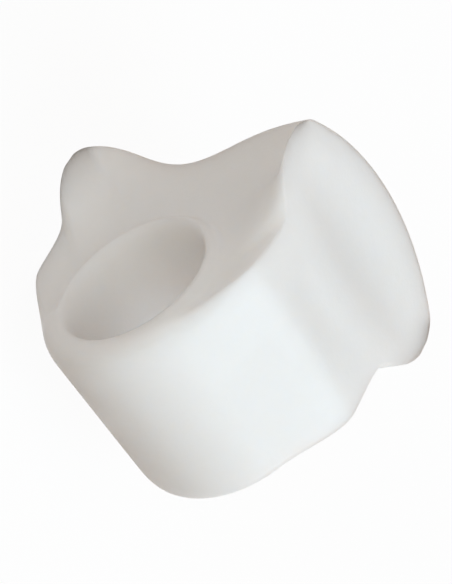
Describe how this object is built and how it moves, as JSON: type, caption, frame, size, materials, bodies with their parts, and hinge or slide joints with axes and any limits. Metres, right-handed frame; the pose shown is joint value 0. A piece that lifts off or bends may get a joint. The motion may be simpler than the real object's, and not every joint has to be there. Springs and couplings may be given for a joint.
{
  "type": "toe separator",
  "caption": "Thick soft gel toe ring with a solid side spacer that has two wide oval flanges and a curved saddle between them, to hold two toes apart.",
  "frame": {"origin": "middle of the part's box, on the surface that the lower flange lies on", "axes": "+X from the toe ring to the saddle, along the part's longest side; +Y along the toe's bore; +Z from the lower flange to the upper one"},
  "size_m": [0.0304, 0.028, 0.0275],
  "materials": {
    "gel": "soft milky gel, satin"
  },
  "bodies": {
    "root": {"toe_separator": "gel"}
  },
  "joints": []
}
